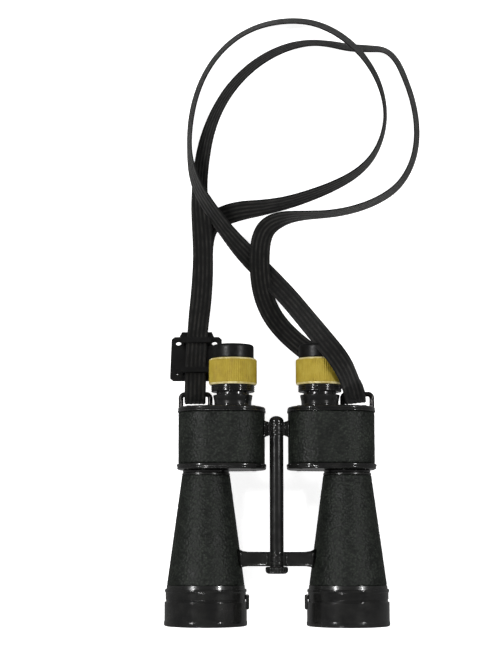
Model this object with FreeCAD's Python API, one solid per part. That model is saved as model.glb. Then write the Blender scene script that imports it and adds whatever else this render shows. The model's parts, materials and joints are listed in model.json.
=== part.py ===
import FreeCAD, Part
import math
import os

os.makedirs("parts", exist_ok=True)
Vec = FreeCAD.Vector

# The binoculars lie flat on the table (z = 0). +Y runs from the objectives to the eyepieces,
# x = 0 is the hinge plane. Sizes are in mm.

# Lengths along Y, from the front rims of the shields backwards.
front_y = -120.6
shield_length = 29.4
barrel_length = 92.5
collar_length = 2.8
housing_length = 50.6
neck_length = 17.3
ring_length = 21.4
eyecup_length = 11.4

# Optical axes of one half. The rest of the section is placed from these.
shield_radius = 33.5
objective_axis_x = 57.2
eyepiece_axis_x = 35.2
eyepiece_rise = 10.0
hinge_rise = 5.0

# Prism housing, a rounded box in section.
housing_inner_x = 9.4
housing_width = 70.2
housing_drop = 4.7
housing_thickness = 2 * shield_radius - housing_drop
housing_corner = 26.0
housing_wall = 3.0
shelf_ledge = 1.2
shelf_thickness = 3.0
covering_thickness = 0.8
cover_thickness = 4.4
top_rim = 0.7
bottom_rim = 1.2
cover_edge_round = 2.0

# Barrel, shield and objective.
barrel_thread_radius = 17.0
barrel_thread_wall = 1.8
barrel_thread_shoulder = 2.3
barrel_top_radius = barrel_thread_radius + barrel_thread_shoulder
barrel_wall = 2.0
barrel_rim_length = 1.4
barrel_front_rim = 3.0
collar_wall = 1.8
collar_radius = barrel_thread_radius + collar_wall
shield_wall = 2.3
shield_step = 0.7
spigot_radius = shield_radius - shield_wall - shield_step
spigot_shoulder = 1.2
barrel_front_radius = spigot_radius + spigot_shoulder
spigot_wall = 1.7
shield_back_radius = shield_radius - shield_step
shield_lug_length = 12.0
shield_lug_setback = 4.4
shield_lug_height = 1.6
shield_lug_half_width = 3.5
shield_groove_depth = 0.9
shield_groove_width = 2.0
shield_groove_setback = 8.2
lens_margin = 1.1
lens_ledge = 1.2
lens_edge_radius = spigot_radius - spigot_wall - lens_margin
lens_seat_radius = lens_edge_radius - lens_ledge
crown_edge = 3.0
crown_front_sag = 3.0
cement_sag = 3.4
flint_edge = 5.5
flint_back_sag = 0.5
cell_lip = 2.2
cell_flange = 2.0

# Eyepiece and its focusing ring.
base_tube_radius = 13.2
base_tube_wall = 1.7
base_neck_wall = 2.8
base_neck_radius = base_tube_radius + base_neck_wall
base_neck_height = 9.2
base_flange_radius = base_neck_radius + 1.6
base_flange_height = 2.5
lens_tube_wall = 1.45
hub_wall = 4.4
hub_radius = base_tube_radius + hub_wall
ring_radius = 19.5
ring_chamfer = 1.4
ring_flutes = 54
flute_depth = 0.55
tube_flange_height = 2.6
tube_neck_step = 0.6
tube_neck_radius = base_tube_radius - tube_neck_step
eyecup_radius = 17.0
focus_travel = 1.9

# Hinge.
knuckle_radius = 5.6
rod_radius = 5.1
axle_radius = 2.5
arm_half_thickness = 3.4
upper_arm_drop = 12.3
upper_arm_height = 10.7
lower_arm_setback = 18.0
lower_arm_height = 11.5
tongue_share = 0.36
washer_thickness = 0.4
disc_radius = 9.1
disc_height = 5.6

# Strap bars on the top covers.
strap_bar_radius = 2.0
strap_bar_x = 65.95
strap_bar_half_span = 11.95
strap_bar_height = 11.0
strap_bar_z = 32.0
strap_bar_bend = 3.2

# Strap and the keeper plate that holds its two layers beside the left eyepiece.
strap_thickness = 2.6
keeper_x = -66.4
keeper_slope = 27.0
keeper_start = 13.6
keeper_length = 42.4
keeper_shoulder = 5.0
keeper_width = 42.0
keeper_neck_width = 25.0
keeper_thickness = 2.5
keeper_hole_inset = 6.0
keeper_eyelet_radius = 2.4
keeper_pin_hole_radius = 1.0
keeper_loop_width = 21.0
keeper_loop_height = 5.8
keeper_loop_thickness = 1.2
keeper_loop_length = 5.0

# Cover screws.
screw_radius = 0.9
screw_head_radius = 1.9
screw_head_height = 1.1
screw_length = 8.0

# Clearances.
running_gap = 0.05
seat_gap = 0.04
knuckle_gap = 0.45
end_gap = 0.3
window_gap = 0.25

# Points closer than this are the same point.
fuzz = 1e-6

# The lens tube slides in the base tube.
lens_tube_radius = base_tube_radius - base_tube_wall - running_gap

# The prisms fold the light path sideways by axis_dx and up by axis_dz, round them in two equal
# steps at right angles.
axis_dx = eyepiece_axis_x - objective_axis_x
axis_dz = eyepiece_rise
prism_leg = math.hypot(axis_dx, axis_dz) / math.sqrt(2)

# Stations along Y.
shield_back_y = front_y + shield_length
lens_front_y = shield_back_y - cell_lip - end_gap - flint_edge - crown_edge
lens_join_y = lens_front_y + crown_edge
lens_back_y = lens_join_y + flint_edge
spigot_front_y = lens_front_y - 1.0
barrel_back_y = shield_back_y + barrel_length
housing_front_y = barrel_back_y + collar_length
housing_back_y = housing_front_y + housing_length
ring_front_y = housing_back_y + neck_length
ring_back_y = ring_front_y + ring_length
box_front_y = housing_front_y + cover_thickness
box_back_y = housing_back_y - cover_thickness
shelf_front_y = (box_front_y + box_back_y - shelf_thickness) / 2
shelf_back_y = shelf_front_y + shelf_thickness
upper_arm_y = (housing_back_y - upper_arm_drop - upper_arm_height, housing_back_y - upper_arm_drop)
lower_arm_y = (shield_back_y + lower_arm_setback, shield_back_y + lower_arm_setback + lower_arm_height)

# Places in the XZ section, for the right half.
objective_axis_z = shield_radius
eyepiece_axis_z = objective_axis_z + eyepiece_rise
hinge_z = objective_axis_z + hinge_rise
housing_x = housing_inner_x + housing_width / 2
housing_z = bottom_rim + housing_thickness / 2

axis_angle = math.atan2(axis_dz, axis_dx)
first_step = (math.cos(axis_angle + math.pi / 4), math.sin(axis_angle + math.pi / 4))
second_step = (math.cos(axis_angle - math.pi / 4), math.sin(axis_angle - math.pi / 4))


def rod(radius, y0, y1, x=0.0, z=0.0):
    """Cylinder along Y."""
    return Part.makeCylinder(radius, y1 - y0, Vec(x, y0, z), Vec(0, 1, 0))


def pipe(outer, inner, y0, y1, x=0.0, z=0.0):
    return rod(outer, y0, y1, x, z).cut(rod(inner, y0 - 1, y1 + 1, x, z))


def turned(profile, x=0.0, z=0.0):
    """Solid of revolution about an axis along Y, from (radius, y) corners."""
    points = [Vec(x + r, y, z) for r, y in profile]
    face = Part.Face(Part.makePolygon(points + points[:1]))
    return face.revolve(Vec(x, 0, z), Vec(0, 1, 0), 360)


def box(x0, x1, y0, y1, z0, z1):
    return Part.makeBox(abs(x1 - x0), y1 - y0, z1 - z0, Vec(min(x0, x1), y0, z0))


def joined(shapes):
    """One solid from overlapping shapes, with split faces merged."""
    whole = shapes[0]
    for other in shapes[1:]:
        whole = whole.fuse(other)
    return whole.removeSplitter()


def rounded_slab(side, grow, y0, y1):
    """Housing section, grown or shrunk all round by grow, between two stations."""
    half_w = housing_width / 2 + grow
    half_t = housing_thickness / 2 + grow
    r = housing_corner + grow
    cx = side * housing_x
    straight_w = half_w - r
    straight_t = half_t - r
    edges = []
    corners = [(1, 1), (-1, 1), (-1, -1), (1, -1)]
    diagonal = r / math.sqrt(2)
    arcs = []
    for sx, sz in corners:
        mx = cx + sx * straight_w
        mz = housing_z + sz * straight_t
        along_x = Vec(mx + sx * r, y0, mz)
        along_z = Vec(mx, y0, mz + sz * r)
        middle = Vec(mx + sx * diagonal, y0, mz + sz * diagonal)
        first, last = (along_x, along_z) if sx * sz > 0 else (along_z, along_x)
        arcs.append((first, middle, last))
    for i, (first, middle, last) in enumerate(arcs):
        edges.append(Part.Arc(first, middle, last).toShape())
        following = arcs[(i + 1) % 4][0]
        if last.distanceToPoint(following) > fuzz:
            edges.append(Part.makeLine(last, following))
    return Part.Face(Part.Wire(edges)).extrude(Vec(0, y1 - y0, 0))


def round_edges_at(shape, y, radius):
    edges = [e for e in shape.Edges if all(abs(v.Y - y) < fuzz for v in e.Vertexes)]
    return shape.makeFillet(radius, edges)


def cover_corners(side):
    """Middles of the housing wall at its four corners, where the cover screws go."""
    wall_r = housing_corner - covering_thickness - housing_wall / 2
    places = []
    for sx in (-1, 1):
        for sz in (-1, 1):
            x = housing_x + sx * (housing_width / 2 - housing_corner + wall_r / math.sqrt(2))
            z = housing_z + sz * (housing_thickness / 2 - housing_corner + wall_r / math.sqrt(2))
            places.append((side * x, z))
    return places


def barrel_radius_at(y):
    share = (barrel_back_y - y) / barrel_length
    return barrel_top_radius + share * (barrel_front_radius - barrel_top_radius)


def arm_solid(side, arm_y, reach_x):
    """Hinge arm from the knuckle out to reach_x, before it is split into fork or tongue."""
    web = box(0, side * reach_x, arm_y[0], arm_y[1], hinge_z - arm_half_thickness, hinge_z + arm_half_thickness)
    return web.fuse(rod(knuckle_radius, arm_y[0], arm_y[1], 0, hinge_z))


def tongue_span(arm_y):
    height = arm_y[1] - arm_y[0]
    middle = (arm_y[0] + arm_y[1]) / 2
    return middle - tongue_share * height / 2, middle + tongue_share * height / 2


def shape_knuckle(side, arm, arm_y):
    """The left half carries the forks, the right half the tongues that turn in them."""
    low, high = tongue_span(arm_y)
    clear_radius = knuckle_radius + knuckle_gap
    slot = washer_thickness + running_gap
    if side < 0:
        arm = arm.cut(rod(clear_radius, low - slot, high + slot, 0, hinge_z))
        return arm.cut(rod(axle_radius + seat_gap, arm_y[0] - 1, arm_y[1] + 1, 0, hinge_z))
    arm = arm.cut(rod(clear_radius, arm_y[0] - 1, low, 0, hinge_z))
    arm = arm.cut(rod(clear_radius, high, arm_y[1] + 1, 0, hinge_z))
    return arm.cut(rod(axle_radius + running_gap, arm_y[0] - 1, arm_y[1] + 1, 0, hinge_z))


def prism_housing(side):
    body = rounded_slab(side, -covering_thickness, box_front_y, box_back_y)
    arm = arm_solid(side, upper_arm_y, housing_inner_x + covering_thickness + housing_wall / 2)
    body = body.fuse(shape_knuckle(side, arm, upper_arm_y))
    inner = -covering_thickness - housing_wall
    body = body.cut(rounded_slab(side, inner, shelf_front_y, box_back_y + 1))
    body = body.cut(rounded_slab(side, inner - shelf_ledge, box_front_y - 1, shelf_front_y + 1))
    for x, z in cover_corners(side):
        body = body.cut(rod(screw_radius + seat_gap, box_front_y - 1, box_back_y + 1, x, z))
    return body.removeSplitter()


def housing_covering(side):
    skin = rounded_slab(side, 0, box_front_y + seat_gap, box_back_y - seat_gap)
    skin = skin.cut(rounded_slab(side, -covering_thickness, box_front_y - 1, box_back_y + 1))
    gap = window_gap
    window = box(0, side * housing_x, upper_arm_y[0] - gap, upper_arm_y[1] + gap,
                 hinge_z - arm_half_thickness - gap, hinge_z + arm_half_thickness + gap)
    return skin.cut(window)


def screw_pocket(x, z, y, outward):
    y0, y1 = sorted((y + outward, y - outward * (screw_head_height - 0.2)))
    return rod(screw_head_radius + seat_gap, y0, y1, x, z)


def top_cover(side):
    plate = rounded_slab(side, top_rim, box_back_y, housing_back_y)
    plate = round_edges_at(plate, housing_back_y, cover_edge_round)
    through = (box_back_y - 1, housing_back_y + 1)
    plate = plate.cut(rod(base_tube_radius + seat_gap, *through, side * eyepiece_axis_x, eyepiece_axis_z))
    for x, z in cover_corners(side):
        plate = plate.cut(rod(screw_radius + seat_gap, *through, x, z))
        plate = plate.cut(screw_pocket(x, z, housing_back_y, 1))
    for end in (-1, 1):
        x = side * strap_bar_x + end * strap_bar_half_span
        plate = plate.cut(rod(strap_bar_radius + seat_gap, box_back_y + 1, housing_back_y + 1, x, strap_bar_z))
    return plate


def bottom_cover(side):
    plate = rounded_slab(side, bottom_rim, housing_front_y, box_front_y)
    plate = round_edges_at(plate, housing_front_y, cover_edge_round)
    through = (housing_front_y - 1, box_front_y + 1)
    plate = plate.cut(rod(barrel_thread_radius + seat_gap, *through, side * objective_axis_x, objective_axis_z))
    for x, z in cover_corners(side):
        plate = plate.cut(rod(screw_radius + seat_gap, *through, x, z))
        plate = plate.cut(screw_pocket(x, z, housing_front_y, -1))
    return plate


def slotted_screw(x, z, y, outward):
    """Head at y, shank running into the part away from outward."""
    head_top = y + outward * 0.2
    head_base = head_top - outward * screw_head_height
    tip = head_base - outward * screw_length
    head = rod(screw_head_radius, *sorted((head_base, head_top)), x, z)
    shank = rod(screw_radius, *sorted((tip, head_base)), x, z)
    slot_low, slot_high = sorted((head_top + outward, head_top - outward * 0.5))
    slot = box(x - 3, x + 3, slot_low, slot_high, z - 0.25, z + 0.25)
    return head.fuse(shank).cut(slot)


def cover_screws(side):
    screws = []
    for x, z in cover_corners(side):
        screws.append(slotted_screw(x, z, housing_back_y, 1))
        screws.append(slotted_screw(x, z, housing_front_y, -1))
    return Part.makeCompound(screws)


def barrel(side):
    t = covering_thickness
    back_rim_y = barrel_back_y - barrel_rim_length
    front_rim_y = shield_back_y + barrel_front_rim
    tube_back_y = box_front_y - 0.1
    inner_front = spigot_radius - spigot_wall
    inner_back = barrel_top_radius - t - barrel_wall
    shell = turned([
        (barrel_thread_radius, tube_back_y),
        (barrel_thread_radius, barrel_back_y),
        (barrel_top_radius, barrel_back_y),
        (barrel_radius_at(back_rim_y), back_rim_y),
        (barrel_radius_at(back_rim_y) - t, back_rim_y),
        (barrel_radius_at(front_rim_y) - t, front_rim_y),
        (barrel_radius_at(front_rim_y), front_rim_y),
        (barrel_front_radius, shield_back_y),
        (spigot_radius, shield_back_y),
        (spigot_radius, spigot_front_y),
        (inner_front, spigot_front_y),
        (inner_front, shield_back_y),
        (inner_back, barrel_back_y - barrel_wall),
        (barrel_thread_radius - barrel_thread_wall, barrel_back_y - barrel_wall),
        (barrel_thread_radius - barrel_thread_wall, tube_back_y),
    ], side * objective_axis_x, objective_axis_z)
    hollow = turned([
        (0, shield_back_y),
        (inner_front, shield_back_y),
        (inner_back, barrel_back_y - barrel_wall),
        (0, barrel_back_y - barrel_wall),
    ], side * objective_axis_x, objective_axis_z)
    middle_radius = barrel_radius_at((lower_arm_y[0] + lower_arm_y[1]) / 2)
    arm = arm_solid(side, lower_arm_y, objective_axis_x - middle_radius + 6).cut(hollow)
    return joined([shell, shape_knuckle(side, arm, lower_arm_y)])


def barrel_covering(side):
    t = covering_thickness
    y0 = shield_back_y + barrel_front_rim + seat_gap
    y1 = barrel_back_y - barrel_rim_length - seat_gap
    skin = turned([
        (barrel_radius_at(y0) - t, y0),
        (barrel_radius_at(y0), y0),
        (barrel_radius_at(y1), y1),
        (barrel_radius_at(y1) - t, y1),
    ], side * objective_axis_x, objective_axis_z)
    gap = window_gap
    window = box(0, side * objective_axis_x, lower_arm_y[0] - gap, lower_arm_y[1] + gap,
                 hinge_z - arm_half_thickness - gap, hinge_z + arm_half_thickness + gap)
    return skin.cut(window)


def barrel_collar(side):
    y0 = barrel_back_y + seat_gap
    y1 = housing_front_y - seat_gap
    inner = barrel_thread_radius + seat_gap
    ring = turned([
        (inner, y0), (collar_radius - 0.5, y0), (collar_radius, y0 + 0.5),
        (collar_radius, y1 - 0.5), (collar_radius - 0.5, y1), (inner, y1),
    ], side * objective_axis_x, objective_axis_z)
    return ring


def objective_shield(side):
    x, z = side * objective_axis_x, objective_axis_z
    groove_back = shield_back_y - shield_groove_setback
    groove_front = groove_back - shield_groove_width
    groove_radius = shield_back_radius - shield_groove_depth
    inner_front = shield_radius - shield_wall
    step_y = spigot_front_y - cell_flange - end_gap
    hood = turned([
        (spigot_radius + seat_gap, shield_back_y - seat_gap),
        (shield_back_radius - 0.6, shield_back_y - seat_gap),
        (shield_back_radius, shield_back_y - 0.6),
        (shield_back_radius, groove_back),
        (groove_radius, groove_back),
        (groove_radius, groove_front),
        (shield_radius, groove_front),
        (shield_radius, front_y + 0.8),
        (shield_radius - 0.8, front_y),
        (inner_front + 0.3, front_y),
        (inner_front, front_y + 0.6),
        (inner_front, step_y),
        (spigot_radius + seat_gap, step_y),
    ], x, z)
    root_x = x - side * (shield_radius - shield_wall / 2)
    face_x = x - side * (shield_radius + shield_lug_height)
    lug_back = shield_back_y - shield_lug_setback
    lug = box(root_x, face_x, lug_back - shield_lug_length, lug_back,
              z - shield_lug_half_width, z + shield_lug_half_width)
    face_edges = [e for e in lug.Edges if all(abs(v.X - face_x) < fuzz for v in e.Vertexes)]
    return joined([hood, lug.makeChamfer(shield_lug_height / 2, face_edges)])


def lens(x, z, radius, y0, y1, front_sag, back_sag):
    """Lens with its rim from y0 to y1. A positive sag bulges away from the lens."""
    axis_front = Vec(x, y0 - front_sag, z)
    axis_back = Vec(x, y1 + back_sag, z)
    rim_front = Vec(x + radius, y0, z)
    rim_back = Vec(x + radius, y1, z)

    def cap(axis_point, rim_point, sag):
        if abs(sag) < fuzz:
            return Part.makeLine(axis_point, rim_point)
        sphere = (radius ** 2 + sag ** 2) / (2 * abs(sag))
        half = radius / 2
        toward = 1 if rim_point.y > axis_point.y else -1
        middle = Vec(x + half, axis_point.y + toward * (sphere - math.sqrt(sphere ** 2 - half ** 2)), z)
        return Part.Arc(axis_point, middle, rim_point).toShape()

    wire = Part.Wire([
        cap(axis_front, rim_front, front_sag),
        Part.makeLine(rim_front, rim_back),
        cap(axis_back, rim_back, back_sag),
        Part.makeLine(axis_back, axis_front),
    ])
    return Part.Face(wire).revolve(Vec(x, 0, z), Vec(0, 1, 0), 360)


def bulge_at_seat(sag):
    """How far a lens face stands out, past its rim, where the seats hold it."""
    return sag * (1 - (lens_seat_radius / lens_edge_radius) ** 2)


def objective_crown(side):
    return lens(side * objective_axis_x, objective_axis_z, lens_edge_radius,
                lens_front_y, lens_join_y, crown_front_sag, cement_sag)


def objective_flint(side):
    return lens(side * objective_axis_x, objective_axis_z, lens_edge_radius,
                lens_join_y, lens_back_y, -cement_sag, flint_back_sag)


def objective_cell(side):
    outer = spigot_radius - spigot_wall - seat_gap
    bore = lens_edge_radius + seat_gap
    y0 = spigot_front_y - cell_flange
    seat_y = lens_back_y + bulge_at_seat(flint_back_sag) + seat_gap
    y1 = lens_back_y + cell_lip
    return turned([
        (bore, y0), (spigot_radius, y0), (spigot_radius, spigot_front_y - seat_gap),
        (outer, spigot_front_y - seat_gap), (outer, y1),
        (lens_seat_radius, y1), (lens_seat_radius, seat_y), (bore, seat_y),
    ], side * objective_axis_x, objective_axis_z)


def objective_retainer(side):
    y0 = spigot_front_y - cell_flange + 0.3
    y1 = lens_front_y - bulge_at_seat(crown_front_sag) - seat_gap
    ring = pipe(lens_edge_radius, lens_seat_radius, y0, y1, side * objective_axis_x, objective_axis_z)
    slot = box(side * objective_axis_x - 40, side * objective_axis_x + 40, y0 - 1, y0 + 0.8,
               objective_axis_z - 0.6, objective_axis_z + 0.6)
    return ring.cut(slot)


def prism_shelf(side):
    outline = -covering_thickness - housing_wall - seat_gap
    plate = rounded_slab(side, outline, shelf_front_y, shelf_back_y)
    beam = prism_leg / 2 - 1.0
    turn = (objective_axis_x + prism_leg * first_step[0], objective_axis_z + prism_leg * first_step[1])
    for x, z in ((objective_axis_x, objective_axis_z), turn, (eyepiece_axis_x, eyepiece_axis_z)):
        plate = plate.cut(rod(beam, shelf_front_y - 1, shelf_back_y + 1, side * x, z))
    return plate


def prism_outline(side, centre, step, base_y, height_sign, leg):
    """Corners of a right-angled prism's long side, standing on base_y with its edges cut back."""
    flat = 1.5
    ends = 1.3
    corners = [(-leg + ends, 0), (leg - ends, 0), (leg - ends, ends), (flat, leg - flat), (-flat, leg - flat),
               (-leg + ends, ends)]
    points = []
    for along, up in corners:
        x = centre[0] + step[0] * along
        z = centre[1] + step[1] * along
        points.append(Vec(side * x, base_y + height_sign * up, z))
    return points


def across(side, step, width):
    return Vec(-side * step[1] * width, 0, step[0] * width)


def prism_block(side, centre, step, base_y, height_sign, leg, width):
    points = prism_outline(side, centre, step, base_y, height_sign, leg)
    face = Part.Face(Part.makePolygon(points + points[:1]))
    shift = across(side, step, width)
    face.translate(shift * -0.5)
    return face.extrude(shift)


def prism_places():
    """Centre and long direction of the prism behind the shelf and of the one in front of it."""
    turn = (objective_axis_x + prism_leg * first_step[0], objective_axis_z + prism_leg * first_step[1])
    back = ((objective_axis_x + turn[0]) / 2, (objective_axis_z + turn[1]) / 2)
    front = ((eyepiece_axis_x + turn[0]) / 2, (eyepiece_axis_z + turn[1]) / 2)
    return (back, first_step, shelf_back_y, 1), (front, second_step, shelf_front_y, -1)


def prism(side, which):
    centre, step, base_y, sign = prism_places()[which]
    return prism_block(side, centre, step, base_y, sign, prism_leg, prism_leg)


def prism_clips(side):
    """A sprung strip over each prism, with a foot at both ends on the shelf."""
    clips = []
    strip = 0.6
    for centre, step, base_y, sign in prism_places():
        over = prism_block(side, centre, step, base_y, sign, prism_leg + strip * math.sqrt(2), 5.0)
        inner = prism_block(side, centre, step, base_y, sign, prism_leg, 7.0)
        foot_points = []
        reach = prism_leg + 2.4
        for along, up in ((-reach, 0), (reach, 0), (reach, 0.8), (-reach, 0.8)):
            x = centre[0] + step[0] * along
            z = centre[1] + step[1] * along
            foot_points.append(Vec(side * x, base_y + sign * up, z))
        feet = Part.Face(Part.makePolygon(foot_points + foot_points[:1]))
        shift = across(side, step, 5.0)
        feet.translate(shift * -0.5)
        clips.append(over.fuse(feet.extrude(shift)).cut(inner).removeSplitter())
    return Part.makeCompound(clips)


def strap_bar(side):
    """Rod bent to a bail, its two legs let into the top cover."""
    x0 = side * strap_bar_x - strap_bar_half_span
    x1 = side * strap_bar_x + strap_bar_half_span
    foot = box_back_y + 1 + seat_gap
    top = housing_back_y + strap_bar_height
    r = strap_bar_bend
    cut = r * (1 - math.sqrt(0.5))
    z = strap_bar_z
    spine = Part.Wire([
        Part.makeLine(Vec(x0, foot, z), Vec(x0, top - r, z)),
        Part.Arc(Vec(x0, top - r, z), Vec(x0 + cut, top - cut, z), Vec(x0 + r, top, z)).toShape(),
        Part.makeLine(Vec(x0 + r, top, z), Vec(x1 - r, top, z)),
        Part.Arc(Vec(x1 - r, top, z), Vec(x1 - cut, top - cut, z), Vec(x1, top - r, z)).toShape(),
        Part.makeLine(Vec(x1, top - r, z), Vec(x1, foot, z)),
    ])
    section = Part.Wire([Part.makeCircle(strap_bar_radius, Vec(x0, foot, z), Vec(0, 1, 0))])
    return spine.makePipeShell([section], True, True)


# Eyepiece stations, from the top of the cover.
base_tube_top = ring_back_y - ring_length / 2 - 0.3
tube_flange_y = base_tube_top + focus_travel + 0.6
tube_flange_top = tube_flange_y + tube_flange_height
hub_front_y = housing_back_y + base_neck_height + focus_travel + 0.6
hub_back_y = tube_flange_top + 2.4
eyecup_front_y = ring_back_y + end_gap
tube_neck_top = eyecup_front_y + 2.4
tube_bore = lens_tube_radius - lens_tube_wall


def eyepiece_base(side):
    bore = lens_tube_radius + running_gap
    return turned([
        (bore, box_back_y), (base_tube_radius, box_back_y), (base_tube_radius, housing_back_y),
        (base_flange_radius, housing_back_y),
        (base_flange_radius, housing_back_y + base_flange_height - 0.8),
        (base_flange_radius - 0.8, housing_back_y + base_flange_height),
        (base_neck_radius, housing_back_y + base_flange_height),
        (base_neck_radius, housing_back_y + base_neck_height),
        (base_tube_radius, housing_back_y + base_neck_height),
        (base_tube_radius, base_tube_top), (bore, base_tube_top),
    ], side * eyepiece_axis_x, eyepiece_axis_z)


def focus_hub(side):
    bore = base_tube_radius + running_gap
    recess = base_tube_radius + 1.5
    y = hub_front_y
    hub = turned([
        (bore, y), (hub_radius - 0.6, y), (hub_radius, y + 0.6), (hub_radius, y + 2.0),
        (hub_radius - 0.6, y + 2.5), (hub_radius, y + 3.0), (hub_radius, hub_back_y), (recess, hub_back_y),
        (recess, tube_flange_y - end_gap), (bore, tube_flange_y - end_gap),
    ], side * eyepiece_axis_x, eyepiece_axis_z)
    nut = pipe(recess - seat_gap, tube_neck_radius + 1.0, tube_flange_top + end_gap, hub_back_y,
               side * eyepiece_axis_x, eyepiece_axis_z)
    return hub, nut


def focus_ring(side):
    x, z = side * eyepiece_axis_x, eyepiece_axis_z
    points = []
    for i in range(2 * ring_flutes):
        angle = math.pi * i / ring_flutes
        r = ring_radius if i % 2 else ring_radius - flute_depth
        points.append(Vec(x + r * math.cos(angle), ring_front_y, z + r * math.sin(angle)))
    fluted = Part.Face(Part.makePolygon(points + points[:1])).extrude(Vec(0, ring_length, 0))
    c = ring_chamfer
    lip_y = max(hub_back_y + end_gap, ring_back_y - 2.2)
    blank = turned([
        (hub_radius + seat_gap, ring_front_y), (ring_radius - c, ring_front_y), (ring_radius, ring_front_y + c),
        (ring_radius, ring_back_y - c), (ring_radius - c, ring_back_y),
        (tube_neck_radius + 1.0, ring_back_y), (tube_neck_radius + 1.0, lip_y),
        (hub_radius + seat_gap, lip_y),
    ], x, z)
    return blank.common(fluted)


def lens_tube(side):
    y0 = housing_back_y + 2.0
    flange = base_tube_radius + 1.5 - running_gap
    return turned([
        (tube_bore, y0), (lens_tube_radius, y0), (lens_tube_radius, tube_flange_y), (flange, tube_flange_y),
        (flange, tube_flange_top), (tube_neck_radius, tube_flange_top), (tube_neck_radius, tube_neck_top),
        (tube_bore, tube_neck_top),
    ], side * eyepiece_axis_x, eyepiece_axis_z)


def field_lens(side):
    y0 = housing_back_y + 4.0
    return lens(side * eyepiece_axis_x, eyepiece_axis_z, tube_bore - seat_gap, y0, y0 + 3.0, 0.0, 1.8)


def eye_lens(side):
    y1 = tube_neck_top - 0.4
    return lens(side * eyepiece_axis_x, eyepiece_axis_z, tube_bore - seat_gap, y1 - 4.0, y1, 1.4, 0.0)


def eyecup(side):
    y0 = eyecup_front_y
    y1 = ring_back_y + eyecup_length
    bore = tube_neck_radius + seat_gap
    lip = tube_bore - 0.8
    r = eyecup_radius
    return turned([
        (bore, y0), (r - 0.6, y0), (r, y0 + 0.6), (r, y1 - 2.4), (r - 0.7, y1 - 0.8), (r - 1.8, y1),
        (r - 3.0, y1 - 0.3), (r - 3.6, y1 - 1.4), (lip, tube_neck_top + 1.2), (lip, tube_neck_top + seat_gap),
        (bore, tube_neck_top + seat_gap),
    ], side * eyepiece_axis_x, eyepiece_axis_z)


def hinge_parts():
    sleeve = pipe(rod_radius, axle_radius + seat_gap, lower_arm_y[1], upper_arm_y[0], 0, hinge_z)
    axle = rod(axle_radius, lower_arm_y[0] - washer_thickness - disc_height / 2, upper_arm_y[1] + 2.0, 0, hinge_z)
    dome = Part.makeSphere(rod_radius, Vec(0, upper_arm_y[1], hinge_z))
    dome = dome.common(box(-20, 20, upper_arm_y[1], upper_arm_y[1] + 20, hinge_z - 20, hinge_z + 20))
    dome = dome.cut(rod(axle_radius + seat_gap, upper_arm_y[1] - 1, upper_arm_y[1] + 2.0 + seat_gap, 0, hinge_z))
    disc_back = lower_arm_y[0] - washer_thickness
    disc = turned([
        (0, disc_back - disc_height), (disc_radius - 1.6, disc_back - disc_height),
        (disc_radius, disc_back - disc_height + 1.6), (disc_radius, disc_back - 1.0), (disc_radius - 1.0, disc_back),
        (0, disc_back),
    ], 0, hinge_z)
    disc = disc.cut(rod(axle_radius + seat_gap, disc_back - disc_height / 2 - seat_gap, disc_back + 1, 0, hinge_z))
    disc = disc.cut(box(-0.8, 0.8, disc_back - disc_height - 1, disc_back - disc_height + 1.2,
                        hinge_z - 12, hinge_z + 12))
    washers = [pipe(knuckle_radius, axle_radius + seat_gap, disc_back, lower_arm_y[0], 0, hinge_z)]
    for arm_y in (lower_arm_y, upper_arm_y):
        low, high = tongue_span(arm_y)
        outer = low - washer_thickness - running_gap
        washers.append(pipe(knuckle_radius, axle_radius + seat_gap, outer, outer + washer_thickness, 0, hinge_z))
        outer = high + running_gap
        washers.append(pipe(knuckle_radius, axle_radius + seat_gap, outer, outer + washer_thickness, 0, hinge_z))
    return {
        "hinge_axle": axle,
        "hinge_sleeve": sleeve,
        "hinge_dome_cap": dome,
        "hinge_lock_disc": disc,
        "hinge_washers": Part.makeCompound(washers),
    }


def on_slope(x, along, above):
    """Point beside the left strap bar, along the strap's slope and above its middle plane."""
    slope = math.radians(keeper_slope)
    y = housing_back_y + strap_bar_height + along * math.cos(slope) + above * math.sin(slope)
    z = strap_bar_z - along * math.sin(slope) + above * math.cos(slope)
    return Vec(x, y, z)


def slope_block(corners, above0, above1):
    """Plate from (x, along) corners, between two heights over the middle plane of the strap."""
    low = [on_slope(x, along, above0) for x, along in corners]
    face = Part.Face(Part.makePolygon(low + low[:1]))
    return face.extrude(on_slope(0, 0, above1) - on_slope(0, 0, above0))


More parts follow.
